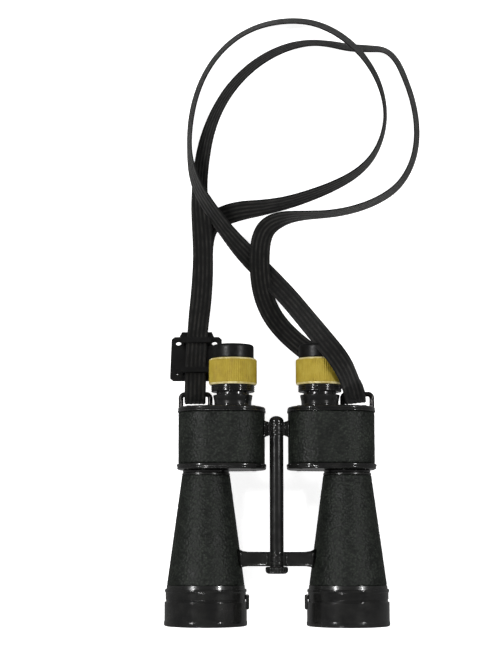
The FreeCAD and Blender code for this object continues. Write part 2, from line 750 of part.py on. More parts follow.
def strap_keeper():
    half_w = keeper_width / 2
    neck = keeper_neck_width / 2
    end = keeper_start + keeper_length
    t = keeper_thickness / 2
    c = 2.5
    outline = [
        (-half_w + c, keeper_start), (half_w - c, keeper_start), (half_w, keeper_start + c), (half_w, end - c),
        (half_w - c, end), (neck + 2, end), (neck, end + keeper_shoulder), (-neck, end + keeper_shoulder),
        (-neck - 2, end), (-half_w + c, end), (-half_w, end - c), (-half_w, keeper_start + c),
    ]
    plate = slope_block([(keeper_x + x, s) for x, s in outline], -t, t)
    inset = keeper_hole_inset
    up = on_slope(0, 0, 1) - on_slope(0, 0, 0)
    for sx in (-1, 1):
        for along, radius in ((keeper_start + inset, keeper_pin_hole_radius), (end - inset, keeper_eyelet_radius)):
            foot = on_slope(keeper_x + sx * (half_w - inset), along, -t - 1)
            plate = plate.cut(Part.makeCylinder(radius, keeper_thickness + 2, foot, up))
    outer = keeper_loop_width / 2 + keeper_loop_thickness
    inner = keeper_loop_width / 2
    top = keeper_loop_height
    for start in (keeper_start + 4.0, end - 4.0 - keeper_loop_length):
        def strip(x0, x1, above0, above1):
            corners = [(keeper_x + x0, start), (keeper_x + x1, start),
                       (keeper_x + x1, start + keeper_loop_length), (keeper_x + x0, start + keeper_loop_length)]
            return slope_block(corners, above0, above1)
        loop = strip(-outer, outer, top, top + keeper_loop_thickness)
        loop = loop.fuse(strip(-outer, -inner, t - 0.5, top + 0.1))
        loop = loop.fuse(strip(inner, outer, t - 0.5, top + 0.1))
        plate = plate.fuse(loop)
    return plate.removeSplitter()


# The neck strap is one closed loop, cut where its ends are sewn under the keeper. Centre line, in mm:
# up from the left bar, round the outer loop, down over the right eyepiece to the right bar, back
# under that eyepiece, round the inner loop and down through the keeper to the left bar.
strap_route = [
    (-66.4, 85.5, 17.9), (-66.5, 98.0, 11.3), (-66.4, 110.0, 5.0), (-66.2, 118.5, 1.4), (-65.2, 135.0, 1.4),
    (-63.0, 157.0, 1.4), (-61.8, 178.0, 1.4), (-61.4, 198.0, 1.6), (-57.5, 211.5, 3.0), (-47.5, 218.5, 6.0),
    (-31.5, 223.5, 8.4), (-11.5, 226.0, 8.6), (10.4, 230.3, 8.6), (32.4, 237.5, 8.6), (52.7, 246.0, 8.6),
    (69.7, 256.0, 8.6), (82.5, 269.1, 8.8), (90.7, 286.4, 9.0), (93.9, 305.5, 9.4), (91.0, 325.1, 12.0),
    (82.8, 342.6, 18.5), (69.4, 358.8, 25.0), (52.5, 375.3, 18.5), (32.4, 387.3, 10.5), (11.0, 389.7, 8.6),
    (-11.3, 385.9, 8.6), (-31.0, 376.7, 8.6), (-47.7, 361.8, 8.6), (-60.1, 343.4, 8.6), (-68.1, 323.2, 8.6),
    (-72.3, 302.2, 8.6), (-73.4, 281.0, 9.8), (-71.9, 261.1, 13.5), (-66.2, 242.1, 17.5), (-56.9, 226.8, 16.5),
    (-45.3, 210.6, 11.0), (-31.1, 193.7, 5.0), (-15.9, 177.9, 1.6), (-1.6, 163.1, 4.0), (11.7, 146.5, 17.0),
    (22.9, 129.9, 34.0), (32.2, 115.7, 51.0), (39.9, 104.3, 62.0), (47.7, 94.2, 66.0), (54.5, 83.9, 63.0),
    (59.0, 74.4, 54.5), (62.4, 66.3, 46.2), (64.2, 58.9, 37.5), (64.9, 58.4, 28.6), (64.6, 68.0, 25.4),
    (60.5, 77.5, 21.0), (50.5, 86.5, 14.5), (37.3, 96.0, 10.0), (23.3, 106.0, 8.0), (10.0, 117.5, 7.0),
    (-1.7, 131.2, 6.4), (-9.2, 146.6, 6.0), (-12.9, 162.8, 5.8), (-13.9, 180.7, 5.8), (-12.9, 198.9, 6.0),
    (-7.2, 210.8, 7.0), (6.2, 217.3, 8.3), (23.9, 219.4, 8.6), (44.1, 220.2, 8.6), (64.4, 223.6, 8.6),
    (84.7, 230.8, 8.6), (102.5, 242.3, 8.6), (113.7, 258.7, 8.6), (119.4, 277.7, 8.6), (120.1, 298.5, 8.6),
    (116.6, 319.5, 8.6), (110.5, 338.0, 8.4), (104.0, 353.5, 8.0), (94.3, 363.8, 7.6), (79.4, 364.6, 7.2),
    (63.1, 365.5, 7.0), (46.9, 369.0, 7.4), (29.8, 370.3, 8.0), (11.8, 366.9, 8.0), (-6.2, 359.0, 8.0),
    (-23.3, 346.8, 8.0), (-38.7, 330.3, 7.5), (-50.6, 310.4, 7.0), (-58.3, 289.6, 6.5), (-62.3, 269.7, 6.0),
    (-64.4, 251.7, 5.6), (-64.6, 233.4, 6.2), (-62.6, 213.0, 7.4), (-61.4, 191.8, 7.5), (-61.2, 170.4, 7.5),
    (-62.3, 149.0, 7.5), (-64.6, 129.0, 8.4), (-66.2, 111.9, 12.5), (-66.5, 94.1, 21.2), (-66.4, 76.4, 30.6),
    (-66.4, 63.0, 37.6), (-66.4, 58.4, 34.4), (-66.4, 58.4, 27.6), (-66.4, 71.0, 25.2), (-66.4, 83.7, 18.8),
]


def cord_solid(points, diameter):
    """Tube of straight runs joined by tangent arcs, each arc taking 0.45 of the shorter run beside it."""
    points = [Vec(*p) for p in points]
    edges = []
    radii = []
    at = points[0]
    for before, corner, after in zip(points, points[1:], points[2:]):
        coming = corner - before
        going = after - corner
        reach = 0.45 * min(coming.Length, going.Length)
        coming.normalize()
        going.normalize()
        turn = coming.getAngle(going)
        start = corner - coming * reach
        finish = corner + going * reach
        radius = reach / math.tan(turn / 2) if turn > fuzz else float("inf")
        edges.append(Part.LineSegment(at, start).toShape())
        if turn < math.radians(0.2):
            edges.append(Part.LineSegment(start, finish).toShape())
        else:
            inward = going - coming
            inward.normalize()
            middle = corner + inward * (radius / math.cos(turn / 2) - radius)
            edges.append(Part.Arc(start, middle, finish).toShape())
            radii.append(radius)
        at = finish
    edges.append(Part.LineSegment(at, points[-1]).toShape())
    wire = Part.Wire(edges)
    start_way = points[1] - points[0]
    section = Part.Wire([Part.makeCircle(diameter / 2, points[0], start_way)])
    solid = wire.makePipeShell([section], True, False)
    expected = math.pi * diameter ** 2 / 4 * wire.Length
    print("strap length", round(wire.Length, 1), "volume share", round(solid.Volume / expected, 4))
    print("strap bend radii", [round(r, 1) for r in sorted(radii)][:12])
    return solid


def half(side):
    """Every piece of one telescope, with the side's name in front."""
    hub, nut = focus_hub(side)
    pieces = {
        "prism_housing": prism_housing(side),
        "housing_covering": housing_covering(side),
        "top_cover": top_cover(side),
        "bottom_cover": bottom_cover(side),
        "cover_screws": cover_screws(side),
        "barrel": barrel(side),
        "barrel_covering": barrel_covering(side),
        "barrel_collar": barrel_collar(side),
        "objective_shield": objective_shield(side),
        "objective_cell": objective_cell(side),
        "objective_retainer": objective_retainer(side),
        "objective_crown": objective_crown(side),
        "objective_flint": objective_flint(side),
        "prism_shelf": prism_shelf(side),
        "back_prism": prism(side, 0),
        "front_prism": prism(side, 1),
        "prism_clips": prism_clips(side),
        "strap_bar": strap_bar(side),
        "eyepiece_base": eyepiece_base(side),
        "focus_hub": hub,
        "focus_ring_nut": nut,
        "focus_ring": focus_ring(side),
        "lens_tube": lens_tube(side),
        "field_lens": field_lens(side),
        "eye_lens": eye_lens(side),
        "eyecup": eyecup(side),
    }
    name = "left" if side < 0 else "right"
    return {name + "_" + key: shape for key, shape in pieces.items()}


parts = {}
parts.update(half(-1))
parts.update(half(1))
parts.update(hinge_parts())
parts["strap_keeper"] = strap_keeper()
parts["neck_strap"] = cord_solid(strap_route, strap_thickness)

for name, shape in parts.items():
    solids = shape.Solids
    good = bool(solids) and all(s.isValid() and s.isClosed() for s in solids)
    shape.exportStep("parts/" + name + ".step")
    print(name, "solids", len(solids), "valid", good, "volume", round(sum(s.Volume for s in solids), 1))


def tight_box(shape):
    points = shape.tessellate(0.1)[0]
    return [min(p[i] for p in points) for i in range(3)] + [max(p[i] for p in points) for i in range(3)]


boxes = [tight_box(shape) for name, shape in parts.items() if name != "neck_strap"]
print("box without the strap", [round(min(b[i] for b in boxes), 2) for i in range(3)],
      [round(max(b[i + 3] for b in boxes), 2) for i in range(3)])
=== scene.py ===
import json
import math

import bpy
import numpy as np
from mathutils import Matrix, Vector, noise as mathNoise


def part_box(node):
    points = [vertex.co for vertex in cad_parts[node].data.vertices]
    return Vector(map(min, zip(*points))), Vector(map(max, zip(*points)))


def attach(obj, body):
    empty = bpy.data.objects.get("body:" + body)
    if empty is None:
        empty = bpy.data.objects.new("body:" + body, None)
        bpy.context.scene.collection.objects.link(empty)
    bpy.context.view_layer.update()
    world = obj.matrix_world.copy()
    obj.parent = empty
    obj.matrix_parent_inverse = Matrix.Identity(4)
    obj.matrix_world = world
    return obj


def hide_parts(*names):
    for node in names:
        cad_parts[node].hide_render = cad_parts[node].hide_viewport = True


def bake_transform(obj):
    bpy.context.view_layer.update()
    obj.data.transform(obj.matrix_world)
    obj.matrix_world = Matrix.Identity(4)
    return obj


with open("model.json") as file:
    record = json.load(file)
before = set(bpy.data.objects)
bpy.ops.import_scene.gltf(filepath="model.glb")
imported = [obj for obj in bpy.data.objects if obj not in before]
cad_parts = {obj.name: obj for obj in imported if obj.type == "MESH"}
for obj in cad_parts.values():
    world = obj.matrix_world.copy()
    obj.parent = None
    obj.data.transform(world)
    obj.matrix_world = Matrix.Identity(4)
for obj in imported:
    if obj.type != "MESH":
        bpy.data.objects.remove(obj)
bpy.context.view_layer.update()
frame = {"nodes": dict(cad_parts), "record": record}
cadNodes = frame["nodes"]
mm = 0.001
sides = {"left": -1, "right": 1}
print("frame loaded:", len(cadNodes), "CAD nodes")


# camera and room

camera = {
    "lookAt": (-29.3, 114.1, 30.0),
    "distance": 1300.0,
    "leanBack": 7.29,
    "leanSide": 1.157,
    "focalLength": 84.66,
    "sensor": 36.0,
}


def makeCamera():
    data = bpy.data.cameras.new("camera")
    data.lens = camera["focalLength"]
    data.sensor_width = camera["sensor"]
    data.clip_start, data.clip_end = 0.05, 20
    eye = bpy.data.objects.new("camera", data)
    bpy.context.scene.collection.objects.link(eye)
    eye.rotation_euler = (math.radians(camera["leanBack"]), math.radians(camera["leanSide"]), 0)
    back = eye.rotation_euler.to_matrix() @ Vector((0, 0, 1))
    eye.location = (Vector(camera["lookAt"]) + camera["distance"] * back) * mm
    bpy.context.scene.camera = eye


makeCamera()


# shared mesh and node helpers

def addMesh(name, points, faces):
    mesh = bpy.data.meshes.new(name)
    mesh.from_pydata([tuple(p) for p in points], [], faces)
    mesh.validate()
    mesh.polygons.foreach_set("use_smooth", [True] * len(mesh.polygons))
    piece = bpy.data.objects.new(name, mesh)
    bpy.context.scene.collection.objects.link(piece)
    return piece


def skinFaces(rings, size, closed=False):
    # faces over rings of size points each, capped at both ends unless the rings close on themselves
    faces = []
    for i in range(rings if closed else rings - 1):
        j = (i + 1) % rings
        for k in range(size):
            m = (k + 1) % size
            faces.append((i * size + k, i * size + m, j * size + m, j * size + k))
    if not closed:
        faces += [tuple(range(size - 1, -1, -1)), tuple(range((rings - 1) * size, rings * size))]
    return faces


def newMaterial(name, **values):
    # a Principled material with its constant values set on the shader's own sockets
    material = bpy.data.materials.new(name)
    material.use_nodes = True
    shader = material.node_tree.nodes["Principled BSDF"]
    for socket, value in values.items():
        shader.inputs[socket.replace("_", " ")].default_value = value
    return material, material.node_tree, shader


def addNode(tree, kind, settings=None, **inputs):
    made = tree.nodes.new("ShaderNode" + kind)
    for key, value in (settings or {}).items():
        setattr(made, key, value)
    for key, value in inputs.items():
        socket = made.inputs[key.replace("_", " ")]
        if isinstance(value, bpy.types.NodeSocket):
            tree.links.new(value, socket)
        else:
            socket.default_value = value
    return made


def addRamp(tree, factor, stops):
    ramp = tree.nodes.new("ShaderNodeValToRGB")
    tree.links.new(factor, ramp.inputs["Fac"])
    steps = ramp.color_ramp.elements
    while len(steps) < len(stops):
        steps.new(0.5)
    for step, (place, colour) in zip(steps, stops):
        step.position = place
        step.color = (*colour, 1) if len(colour) == 3 else (colour[0],) * 3 + (1,)
    return ramp.outputs["Color"]


def place(tree, scale=(1, 1, 1)):
    where = tree.nodes.new("ShaderNodeTexCoord").outputs["Object"]
    if scale == (1, 1, 1):
        return where
    mapping = tree.nodes.new("ShaderNodeMapping")
    mapping.inputs["Scale"].default_value = scale
    tree.links.new(where, mapping.inputs["Vector"])
    return mapping.outputs["Vector"]


def noise(tree, where, scale, detail=3.0, rough=0.5):
    made = addNode(tree, "TexNoise", Vector=where, Scale=scale, Detail=detail, Roughness=rough)
    return made.outputs["Fac"]


def bump(tree, shader, height, distance, strength=1.0):
    made = addNode(tree, "Bump", Height=height, Distance=distance, Strength=strength)
    tree.links.new(made.outputs["Normal"], shader.inputs["Normal"])
    return made


# the neck strap: one flat woven band, doubled through the keeper

strap = {
    "width": 17.0,
    "thickness": 1.6,
    "ribs": 5,
    "ribHeight": 0.34,
    "pointsPerRib": 6,
    "stepsPerSpan": 8,
    "twistSettle": 9.0,
    # route point and the band's lean there, in degrees: 0 lies flat and 90 stands on its edge
    "lean": [
        (0, 0), (7, 0), (9, 12), (10, 40), (11, 58), (12, 64), (14, 74), (15, 77), (17, 82),
        (18, 78), (19, 68), (21, 58), (22, 55), (24, 57), (26, 62), (28, 68), (30, 72), (31, 78),
        (32, 68), (33, 58), (34, 52), (35, 48), (36, 28), (37, 4), (38, 0), (43, 0), (44, -14),
        (45, -24), (46, -10), (47, 0), (59, 0), (60, 22), (61, 58), (62, 76), (63, 80), (65, 79),
        (67, 76), (69, 70), (71, 66), (72, 64), (73, 78), (75, 80), (76, 66), (77, 58), (78, 52),
        (80, 49), (82, 48), (84, 50), (85, 47), (86, 40), (87, 16), (88, 0), (99, 0),
    ],
}

strapRoute = [
    (-66.4, 85.5, 17.9), (-66.5, 98.0, 11.3), (-66.4, 110.0, 5.0), (-66.2, 118.5, 1.4),
    (-65.2, 135.0, 1.4), (-63.0, 157.0, 1.4), (-61.8, 178.0, 1.4), (-61.4, 198.0, 1.6),
    (-57.5, 211.5, 3.0), (-47.5, 218.5, 6.0), (-31.5, 223.5, 8.4), (-11.5, 226.0, 8.6),
    (10.4, 230.3, 8.6), (32.4, 237.5, 8.6), (52.7, 246.0, 8.6), (69.7, 256.0, 8.6),
    (82.5, 269.1, 8.8), (90.7, 286.4, 9.0), (93.9, 305.5, 9.4), (91.0, 325.1, 12.0),
    (82.8, 342.6, 18.5), (69.4, 358.8, 25.0), (52.5, 375.3, 18.5), (32.4, 387.3, 10.5),
    (11.0, 389.7, 8.6), (-11.3, 385.9, 8.6), (-31.0, 376.7, 8.6), (-47.7, 361.8, 8.6),
    (-60.1, 343.4, 8.6), (-68.1, 323.2, 8.6), (-72.3, 302.2, 8.6), (-73.4, 281.0, 9.8),
    (-71.9, 261.1, 13.5), (-66.2, 242.1, 17.5), (-56.9, 226.8, 16.5), (-45.3, 210.6, 11.0),
    (-31.1, 193.7, 5.0), (-15.9, 177.9, 1.6), (-1.6, 163.1, 4.0), (11.7, 146.5, 17.0),
    (22.9, 129.9, 34.0), (32.2, 115.7, 51.0), (39.9, 104.3, 62.0), (47.7, 94.2, 66.0),
    (54.5, 83.9, 63.0), (59.0, 74.4, 54.5), (62.4, 66.3, 46.2), (64.2, 58.9, 37.5),
    (64.9, 58.4, 28.6), (64.6, 68.0, 25.4), (60.5, 77.5, 21.0), (50.5, 86.5, 14.5),
    (37.3, 96.0, 10.0), (23.3, 106.0, 8.0), (10.0, 117.5, 7.0), (-1.7, 131.2, 6.4),
    (-9.2, 146.6, 6.0), (-12.9, 162.8, 5.8), (-13.9, 180.7, 5.8), (-12.9, 198.9, 6.0),
    (-7.2, 210.8, 7.0), (6.2, 217.3, 8.3), (23.9, 219.4, 8.6), (44.1, 220.2, 8.6),
    (64.4, 223.6, 8.6), (84.7, 230.8, 8.6), (102.5, 242.3, 8.6), (113.7, 258.7, 8.6),
    (119.4, 277.7, 8.6), (120.1, 298.5, 8.6), (116.6, 319.5, 8.6), (110.5, 338.0, 8.4),
    (104.0, 353.5, 8.0), (94.3, 363.8, 7.6), (79.4, 364.6, 7.2), (63.1, 365.5, 7.0),
    (46.9, 369.0, 7.4), (29.8, 370.3, 8.0), (11.8, 366.9, 8.0), (-6.2, 359.0, 8.0),
    (-23.3, 346.8, 8.0), (-38.7, 330.3, 7.5), (-50.6, 310.4, 7.0), (-58.3, 289.6, 6.5),
    (-62.3, 269.7, 6.0), (-64.4, 251.7, 5.6), (-64.6, 233.4, 6.2), (-62.6, 213.0, 7.4),
    (-61.4, 191.8, 7.5), (-61.2, 170.4, 7.5), (-62.3, 149.0, 7.5), (-64.6, 129.0, 8.4),
    (-66.2, 111.9, 12.5), (-66.5, 94.1, 21.2), (-66.4, 76.4, 30.6), (-66.4, 63.0, 37.6),
    (-66.4, 58.4, 34.4), (-66.4, 58.4, 27.6), (-66.4, 71.0, 25.2), (-66.4, 83.7, 18.8),
]


def readSpline(route, steps):
    # points along the smooth NURBS curve that has the route as its control points
    data = bpy.data.curves.new("route", "CURVE")
    data.dimensions = "3D"
    data.resolution_u = steps
    spline = data.splines.new("NURBS")
    spline.points.add(len(route) - 1)
    for point, at in zip(spline.points, route):
        point.co = (at[0] * mm, at[1] * mm, at[2] * mm, 1)
    spline.order_u = 3
    spline.use_endpoint_u = True
    line = bpy.data.objects.new("route", data)
    bpy.context.scene.collection.objects.link(line)
    bpy.context.view_layer.update()
    mesh = bpy.data.meshes.new_from_object(line)
    points = np.array([v.co for v in mesh.vertices], float)
    bpy.data.objects.remove(line)
    bpy.data.meshes.remove(mesh)
    bpy.data.curves.remove(data)
    return points


def bandFrames(points):
    # unit ways along, across and out of the band at each point
    gaps = np.linalg.norm(np.diff(points, axis=0), axis=1)
    along = np.concatenate([[0], np.cumsum(gaps)])
    ahead = np.gradient(points, along, axis=0)
    ahead /= np.linalg.norm(ahead, axis=1)[:, None]
    share = np.linspace(0, len(strapRoute) - 1, len(points))
    # how far it can lean before its lower edge meets the table
    half, thick = strap["width"] / 2, strap["thickness"] / 2
    height = points[:, 2] / mm / math.hypot(half, thick)
    steepest = np.where(height < 1, np.arcsin(np.clip(height, 0, 1)) - math.atan2(thick, half), math.pi / 2)
    lean = np.clip(np.radians(np.interp(share, *zip(*strap["lean"]))), -steepest.clip(0), steepest.clip(0))
    carried = np.cross((0, 0, 1), ahead[0])
    angles, carriedAll = [], []
    for way, tilt in zip(ahead, lean):
        carried = carried - way * carried.dot(way)
        carried /= np.linalg.norm(carried)
        third = np.cross(way, carried)
        level = np.cross((0, 0, 1), way)
        if np.linalg.norm(level) < 0.3:  # round a bar the band keeps level with the bar
            level = np.array((1.0, 0, 0)) - way * way[0]
        level /= np.linalg.norm(level)
        wanted = math.cos(tilt) * level + math.sin(tilt) * np.cross(way, level)
        angle = math.atan2(wanted.dot(third), wanted.dot(carried))
        if angles:
            angle += math.pi * round((angles[-1] - angle) / math.pi)
        angles.append(angle)
        carriedAll.append((carried, third))
    angles = np.array(angles)
    near = np.exp(-0.5 * ((along[:, None] - along[None, :]) / (strap["twistSettle"] * mm)) ** 2)
    angles = near @ angles / near.sum(1)
    across = np.array([math.cos(a) * c + math.sin(a) * t for a, (c, t) in zip(angles, carriedAll)])
    return along, ahead, across, np.cross(ahead, across)


def bandSection():
    # (across, out) round a ribbed band with rounded selvedges
    half, thick = strap["width"] / 2, strap["thickness"] / 2
    count = strap["ribs"] * strap["pointsPerRib"]
    top = []
    for i in range(count + 1):
        c = -1 + 2 * i / count
        rib = abs(math.cos(math.pi * strap["ribs"] * (c + 1) / 2))
        edge = min(1.0, (1 - abs(c)) * half / thick * 1.2)
        taper = math.sqrt(max(0.12, 1 - (1 - edge) ** 2))
        top.append((c * half, (thick - strap["ribHeight"] * rib) * taper))
    return top + [(c, -o) for c, o in reversed(top)]


def makeStrap():
    line = readSpline(strapRoute, strap["stepsPerSpan"])
    along, _, across, out = bandFrames(line)
    section = bandSection()
    ring = len(section)
    points = np.array([p + (a * c + o * h) * mm for p, a, o in zip(line, across, out) for c, h in section])
    points[:, 2] = np.maximum(points[:, 2], 0)
    band = addMesh("strapBand", points, skinFaces(len(line), ring))
    weave = band.data.uv_layers.new(name="weave")
    for loop in band.data.loops:
        i, j = divmod(loop.vertex_index, ring)
        weave.data[loop.index].uv = (along[i] / mm, section[j][0])
    return band, line, float(along[-1])


def strapMaterial():
    # lengthwise ribs with a fine crosswise weave; the rib tops are painted paler as a painted highlight and
    # the valleys darker as painted shade, mottled by wear noise
    material, tree, shader = newMaterial(
        "strapWebbing", Roughness=0.88, Specular_IOR_Level=0.2, Sheen_Weight=0.12, Sheen_Roughness=0.5)
    cloth = tree.nodes.new("ShaderNodeUVMap")
    cloth.uv_map = "weave"
    side = addNode(tree, "SeparateXYZ", Vector=cloth.outputs["UV"]).outputs["Y"]
    turns = addNode(tree, "Math", {"operation": "MULTIPLY"})
    tree.links.new(side, turns.inputs[0])
    turns.inputs[1].default_value = math.pi * strap["ribs"] / strap["width"]
    rib = addNode(tree, "Math", {"operation": "COSINE"})
    tree.links.new(turns.outputs[0], rib.inputs[0])
    top = addNode(tree, "Math", {"operation": "POWER"})
    lifted = addNode(tree, "Math", {"operation": "ABSOLUTE"})
    tree.links.new(rib.outputs[0], lifted.inputs[0])
    tree.links.new(lifted.outputs[0], top.inputs[0])
    top.inputs[1].default_value = 1.6
    picks = addNode(tree, "TexWave", {"bands_direction": "DIAGONAL"}, Vector=cloth.outputs["UV"], Scale=0.5,
                    Distortion=1.5, Detail=1.0).outputs["Fac"]
    worn = noise(tree, place(tree), 160, 4)
    ribTopWearAndHighlight = addNode(tree, "Math", {"operation": "MULTIPLY"})
    tree.links.new(worn, ribTopWearAndHighlight.inputs[0])
    tree.links.new(top.outputs[0], ribTopWearAndHighlight.inputs[1])
    shade = addNode(tree, "Math", {"operation": "MULTIPLY_ADD"})
    tree.links.new(picks, shade.inputs[0])
    shade.inputs[1].default_value = 0.18
    tree.links.new(ribTopWearAndHighlight.outputs[0], shade.inputs[2])
    # painted highlight on the rib tops and painted shade in the valleys, broken up by wear noise and the
    # weave
    colour = addRamp(tree, shade.outputs[0], [
        (0.1, (0.002, 0.002, 0.002)), (0.45, (0.006, 0.006, 0.0055)), (0.75, (0.024, 0.023, 0.021))])
    tree.links.new(colour, shader.inputs["Base Color"])
    bump(tree, shader, picks, 0.0003, 0.7)
    return material


band, strapLine, strapLength = makeStrap()
band.data.materials.append(strapMaterial())
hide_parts("neck_strap")
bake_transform(band)
print("strap:", round(strapLength, 3), "m")


# finishes

def castingMaterial():
    material, tree, shader = newMaterial(
        "blackCasting", Roughness=0.26, Coat_Weight=0.6, Coat_Roughness=0.1)
    where = place(tree)
    stops = [(0.3, (0.006, 0.006, 0.006)), (0.75, (0.016, 0.016, 0.015))]
    colour = addRamp(tree, noise(tree, where, 60, 4), stops)
    tree.links.new(colour, shader.inputs["Base Color"])
    bump(tree, shader, noise(tree, where, 700, 3), 0.00012, 0.5)
    return material


def lacquerMaterial():
    material, tree, shader = newMaterial("glossLacquer", Coat_Weight=0.8, Coat_Roughness=0.06)
    where = place(tree)
    patchy = noise(tree, where, 90, 5, 0.6)
    colour = addRamp(tree, patchy, [(0.35, (0.004, 0.004, 0.004)), (0.8, (0.012, 0.012, 0.011))])
    tree.links.new(colour, shader.inputs["Base Color"])
    rough = addRamp(tree, patchy, [(0.3, (0.14,)), (0.8, (0.32,))])
    tree.links.new(rough, shader.inputs["Roughness"])
    bump(tree, shader, noise(tree, where, 260, 2), 0.0001, 0.4)
    return material


def satinMaterial():
    material, tree, shader = newMaterial("satinBlack", Metallic=0.4)
    where = place(tree, (1, 30, 1))
    turned = noise(tree, where, 300, 3)
    colour = addRamp(tree, turned, [(0.3, (0.008, 0.008, 0.008)), (0.8, (0.02, 0.02, 0.02))])
    tree.links.new(colour, shader.inputs["Base Color"])
    tree.links.new(addRamp(tree, turned, [(0.2, (0.3,)), (0.9, (0.5,))]), shader.inputs["Roughness"])
    bump(tree, shader, turned, 0.00005, 0.4)
    return material


def leatheretteMaterial():
    # pressed pebble grain about two millimetres across; the pebble tops are painted paler as a painted
    # highlight and the creases darker as painted shade, mottled by wear noise
    material, tree, shader = newMaterial("leatherette", Specular_IOR_Level=0.4)
    where = place(tree)
    wobble = addNode(tree, "TexNoise", Vector=where, Scale=260.0, Detail=2.0)
    bent = addNode(tree, "Mix", {"data_type": "VECTOR"})
    bent.inputs["Factor"].default_value = 0.0016
    tree.links.new(where, bent.inputs[4])
    tree.links.new(wobble.outputs["Color"], bent.inputs[5])
    cells = addNode(tree, "TexVoronoi", {"feature": "SMOOTH_F1"}, Vector=bent.outputs[1], Scale=520.0,
                    Smoothness=0.35)
    pebble = addNode(tree, "Math", {"operation": "SUBTRACT"})
    pebble.inputs[0].default_value = 1.0
    tree.links.new(cells.outputs["Distance"], pebble.inputs[1])
    worn = noise(tree, where, 75, 5, 0.65)
    height = addNode(tree, "Math", {"operation": "MULTIPLY"})
    tree.links.new(pebble.outputs[0], height.inputs[0])
    tree.links.new(worn, height.inputs[1])
    # painted highlight on the pebble tops and painted shade in the creases between them, varied by wear
    # noise
    colour = addRamp(tree, height.outputs[0], [
        (0.15, (0.003, 0.004, 0.003)), (0.36, (0.009, 0.0115, 0.0085)), (0.60, (0.028, 0.034, 0.026))])
    tree.links.new(colour, shader.inputs["Base Color"])
    rough = addRamp(tree, worn, [(0.3, (0.42,)), (0.7, (0.62,))])
    tree.links.new(rough, shader.inputs["Roughness"])
    bump(tree, shader, pebble.outputs[0], 0.0005, 0.9)
    return material


def brassMaterial():
    material, tree, shader = newMaterial("mustardBrass", Metallic=0.25)
    where = place(tree)
    patina = noise(tree, where, 120, 5, 0.6)
    colour = addRamp(tree, patina, [
        (0.25, (0.27, 0.185, 0.014)), (0.5, (0.36, 0.265, 0.022)), (0.8, (0.44, 0.34, 0.050))])
    tree.links.new(colour, shader.inputs["Base Color"])
    tree.links.new(addRamp(tree, patina, [(0.2, (0.42,)), (0.8, (0.6,))]), shader.inputs["Roughness"])
    bump(tree, shader, noise(tree, where, 900, 2), 0.00008, 0.5)
    return material


def ringEdgeHighlightMaterial():
    # the ring's smooth end bands, painted pale cream as a painted highlight on their chamfered rims
    material, tree, shader = newMaterial("ringEdgePaintedHighlight", Metallic=0.35)
    patchy = noise(tree, place(tree), 240, 4, 0.6)
    stops = [(0.3, (0.52, 0.40, 0.10)), (0.55, (0.78, 0.68, 0.34)), (0.85, (0.86, 0.80, 0.55))]
    colour = addRamp(tree, patchy, stops)
    tree.links.new(colour, shader.inputs["Base Color"])
    tree.links.new(addRamp(tree, patchy, [(0.2, (0.3,)), (0.8, (0.5,))]), shader.inputs["Roughness"])
    return material


def steelMaterial():
    material, tree, shader = newMaterial("blackenedSteel", Metallic=0.9)
    where = place(tree)
    patchy = noise(tree, where, 500, 4)
    colour = addRamp(tree, patchy, [(0.3, (0.02, 0.02, 0.022)), (0.8, (0.09, 0.085, 0.08))])
    tree.links.new(colour, shader.inputs["Base Color"])
    tree.links.new(addRamp(tree, patchy, [(0.2, (0.22,)), (0.9, (0.42,))]), shader.inputs["Roughness"])
    return material


def springBrassMaterial():
    material, tree, shader = newMaterial("springBrass", Metallic=1.0)
    patchy = noise(tree, place(tree, (1, 20, 1)), 300, 3)
    colour = addRamp(tree, patchy, [(0.3, (0.5, 0.34, 0.12)), (0.8, (0.66, 0.5, 0.22))])
    tree.links.new(colour, shader.inputs["Base Color"])
    tree.links.new(addRamp(tree, patchy, [(0.2, (0.25,)), (0.9, (0.4,))]), shader.inputs["Roughness"])
    return material


def mouldedMaterial(name, base, rough):
    material, tree, shader = newMaterial(name, Specular_IOR_Level=0.3)
    where = place(tree)
    grain = noise(tree, where, 420, 4, 0.6)
    pale = [1.8 * c for c in base]
    tree.links.new(addRamp(tree, grain, [(0.35, base), (0.8, pale)]), shader.inputs["Base Color"])
    dull = addRamp(tree, grain, [(0.2, (rough,)), (0.9, (rough + 0.2,))])
    tree.links.new(dull, shader.inputs["Roughness"])
    bump(tree, shader, grain, 0.0001, 0.5)
    return material


def glassMaterial(name, tint, coatTint):
    material, tree, shader = newMaterial(
        name, Roughness=0.02, IOR=1.52, Transmission_Weight=0.9, Coat_Weight=0.6, Coat_Roughness=0.02,
        Coat_Tint=(*coatTint, 1))
    faint = noise(tree, place(tree), 30, 2)
    tree.links.new(addRamp(tree, faint, [(0.3, tint), (0.8, [min(1.0, 1.08 * c) for c in tint])]),
                   shader.inputs["Base Color"])
    return material


finishes = {
    "black_casting": castingMaterial(),
    "black_lacquer": lacquerMaterial(),
    "satin_black": satinMaterial(),
    "leatherette": leatheretteMaterial(),
    "focus_brass": brassMaterial(),
    "eyecup_plastic": mouldedMaterial("eyecupPlastic", (0.003, 0.003, 0.003), 0.3),
    "coated_glass": glassMaterial("coatedGlass", (0.62, 0.66, 0.82), (0.45, 0.4, 0.95)),
    "optical_glass": glassMaterial("opticalGlass", (0.93, 0.97, 0.96), (0.9, 0.95, 1.0)),
    "blackened_steel": steelMaterial(),
    "spring_brass": springBrassMaterial(),
    "keeper_plastic": mouldedMaterial("keeperPlastic", (0.004, 0.004, 0.004), 0.45),
}

for part in frame["record"]["subparts"]:
    if part["node"] in cadNodes and part["material_slot"] in finishes:
        slots = cadNodes[part["node"]].material_slots
        for slot in slots:
            slot.material = finishes[part["material_slot"]]
print("finishes:", len(finishes))


# turned pieces

